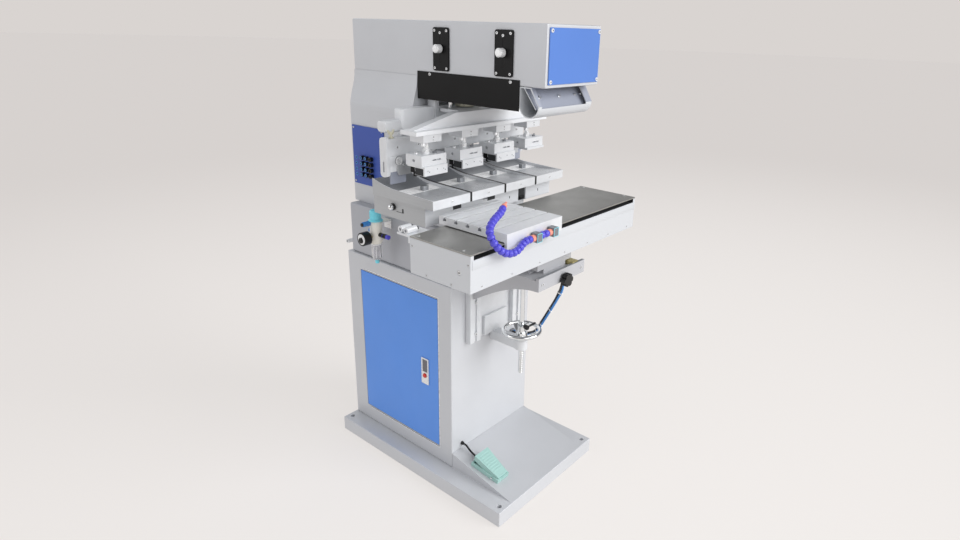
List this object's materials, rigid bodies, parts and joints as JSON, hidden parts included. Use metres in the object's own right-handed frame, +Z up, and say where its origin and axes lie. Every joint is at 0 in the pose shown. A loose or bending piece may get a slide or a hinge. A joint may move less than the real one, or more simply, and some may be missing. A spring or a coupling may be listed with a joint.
{
  "type": "pad printing machine",
  "caption": "Floor-standing pad printing machine with a row of ink trays under an overhanging head, a sliding table on a cranked knee and a foot pedal.",
  "frame": {"origin": "on the floor, at the centre of the base plate's underside", "axes": "+Z up, the front faces -Y, the door is on the left side at -X"},
  "size_m": [0.804, 0.8391, 1.48],
  "materials": {
    "aluminium": "machined, satin",
    "black_paint": "satin black anodised plate",
    "black_plastic": "matte black",
    "blue_paint": "satin blue powder coat",
    "blue_tube": "gloss blue tube",
    "brushed_steel": "brushed lengthwise",
    "chrome": "bright plated",
    "clear_plastic": "clear, slightly smoked",
    "cream_plastic": "satin cream",
    "cyan_plastic": "satin cyan",
    "dark_blue_paint": "satin dark blue powder coat",
    "grey_plastic": "satin grey",
    "mint_paint": "satin mint enamel",
    "orange_plastic": "gloss coral",
    "red_plastic": "gloss red",
    "silver_paint": "satin silver paint",
    "violet_plastic": "gloss blue violet",
    "white_plastic": "satin white"
  },
  "bodies": {
    "machine": {"base_plate": "silver_paint", "cabinet": "silver_paint", "middle_body": "silver_paint", "head_housing": "silver_paint", "front_plate": "blue_paint", "valve_panel": "dark_blue_paint", "slot_plate_front": "black_paint", "slot_plate_rear": "black_paint", "side_cover_left": "black_paint", "side_cover_right": "black_paint", "control_trough": "silver_paint", "tray_table": "aluminium", "ink_tray_1": "aluminium", "ink_tray_2": "aluminium", "ink_tray_3": "aluminium", "ink_tray_4": "aluminium", "guide_plate": "aluminium", "screw_bracket": "aluminium", "regulator_body": "cream_plastic", "pressure_gauge": "black_plastic", "filter_bowl": "clear_plastic", "rear_elbow": "white_plastic", "pedal_base": "mint_paint", "pedal_cord": "black_plastic", "cord_grommet": "black_plastic", "air_tube_blue": "blue_tube", "air_tube_black": "black_plastic", "tube_manifold": "black_plastic"},
    "carriage": {"carriage": "aluminium"},
    "pad_beam": {"pad_beam": "aluminium"},
    "pad_holder_1": {"pad_holder_1": "aluminium"},
    "pad_holder_2": {"pad_holder_2": "aluminium"},
    "pad_holder_3": {"pad_holder_3": "aluminium"},
    "pad_holder_4": {"pad_holder_4": "aluminium"},
    "blade_unit": {"blade_bar": "aluminium", "scraper_bar": "grey_plastic"},
    "wing_screw": {"wing_screw": "aluminium"},
    "knee": {"knee_arm": "aluminium", "lead_screw": "chrome", "shuttle_housing": "aluminium", "shuttle_top": "brushed_steel", "stop_plate": "aluminium"},
    "worktable": {"worktable": "aluminium", "hose_block": "grey_plastic", "valve_block": "grey_plastic", "hose_short": "violet_plastic", "hose_long": "violet_plastic", "nozzle": "orange_plastic"},
    "handwheel": {"handwheel": "chrome"},
    "lock_lever": {"lock_lever": "black_plastic"},
    "star_knob": {"star_knob": "black_plastic"},
    "door": {"side_door": "blue_paint", "door_lock": "black_plastic"},
    "lock_button": {"lock_button": "red_plastic"},
    "treadle": {"pedal_treadle": "mint_paint"},
    "regulator_knob": {"regulator_knob": "cyan_plastic"},
    "bowl_drain": {"bowl_drain": "cyan_plastic"},
    "stroke_knob_front": {"stroke_knob_front": "aluminium"},
    "stroke_knob_rear": {"stroke_knob_rear": "aluminium"}
  },
  "joints": [
    {"name": "knee_height", "type": "slide", "parent": "machine", "child": "knee", "axis": [0, 0, 1], "range_m": [-0.08, 0.008], "deforming": ["air_tube_blue", "air_tube_black"]},
    {"name": "handwheel_turn", "type": "hinge", "parent": "machine", "child": "handwheel", "pos_m": [0, -0.254, 0.541], "axis": [0, 0, 1], "range_deg": [-5761, 577]},
    {"name": "lock_lever_tilt", "type": "hinge", "parent": "handwheel", "child": "lock_lever", "pos_m": [0, -0.2743, 0.557], "axis": [0, -1, 0], "range_deg": [0, 75]},
    {"name": "star_knob_turn", "type": "hinge", "parent": "knee", "child": "star_knob", "pos_m": [0.005, -0.402, 0.761], "axis": [0, -1, 0], "range_deg": [0, 1080]},
    {"name": "table_slide", "type": "slide", "parent": "knee", "child": "worktable", "axis": [1, 0, 0], "range_m": [-0.08, 0.39]},
    {"name": "carriage_slide", "type": "slide", "parent": "machine", "child": "carriage", "axis": [0, 1, 0], "range_m": [-0.2, 0]},
    {"name": "pad_stroke", "type": "slide", "parent": "carriage", "child": "pad_beam", "axis": [0, 0, 1], "range_m": [-0.032, 0]},
    {"name": "pad_holder_1_shift", "type": "slide", "parent": "pad_beam", "child": "pad_holder_1", "axis": [1, 0, 0], "range_m": [-0.015, 0.015]},
    {"name": "pad_holder_2_shift", "type": "slide", "parent": "pad_beam", "child": "pad_holder_2", "axis": [1, 0, 0], "range_m": [-0.015, 0.015]},
    {"name": "pad_holder_3_shift", "type": "slide", "parent": "pad_beam", "child": "pad_holder_3", "axis": [1, 0, 0], "range_m": [-0.015, 0.015]},
    {"name": "pad_holder_4_shift", "type": "slide", "parent": "pad_beam", "child": "pad_holder_4", "axis": [1, 0, 0], "range_m": [-0.015, 0.015]},
    {"name": "blade_rock", "type": "hinge", "parent": "carriage", "child": "blade_unit", "pos_m": [0, 0.046, 1.146], "axis": [1, 0, 0], "range_deg": [-3, 5]},
    {"name": "wing_screw_turn", "type": "hinge", "parent": "blade_unit", "child": "wing_screw", "pos_m": [-0.281, 0.023, 1.158], "axis": [0, 0, 1], "range_deg": [0, 1080]},
    {"name": "door_swing", "type": "hinge", "parent": "machine", "child": "door", "pos_m": [-0.19, 0.3108, 0.3835], "axis": [0, 0, 1], "range_deg": [-110, 0]},
    {"name": "lock_button_push", "type": "slide", "parent": "door", "child": "lock_button", "axis": [1, 0, 0], "range_m": [0, 0.003], "stiffness_N_per_m": 400, "springref_m": -0.003},
    {"name": "treadle_press", "type": "hinge", "parent": "machine", "child": "treadle", "pos_m": [-0.143, -0.28755, 0.08384], "axis": [-1, 0, 0], "range_deg": [0, 6], "stiffness_Nm_per_rad": 3, "springref_deg": -14.32},
    {"name": "regulator_knob_turn", "type": "hinge", "parent": "machine", "child": "regulator_knob", "pos_m": [-0.236, 0.168, 0.872], "axis": [0, 0, 1], "range_deg": [-720, 720]},
    {"name": "bowl_drain_turn", "type": "hinge", "parent": "machine", "child": "bowl_drain", "pos_m": [-0.236, 0.168, 0.7417], "axis": [0, 0, 1], "range_deg": [0, 90]},
    {"name": "stroke_knob_front_set", "type": "slide", "parent": "machine", "child": "stroke_knob_front", "axis": [0, 0, 1], "range_m": [-0.025, 0.025]},
    {"name": "stroke_knob_rear_set", "type": "slide", "parent": "machine", "child": "stroke_knob_rear", "axis": [0, 0, 1], "range_m": [-0.025, 0.025]}
  ],
  "couplings": [
    {"joint": "handwheel_turn", "follows": "knee_height", "rad_per_m": 1256.6}
  ]
}
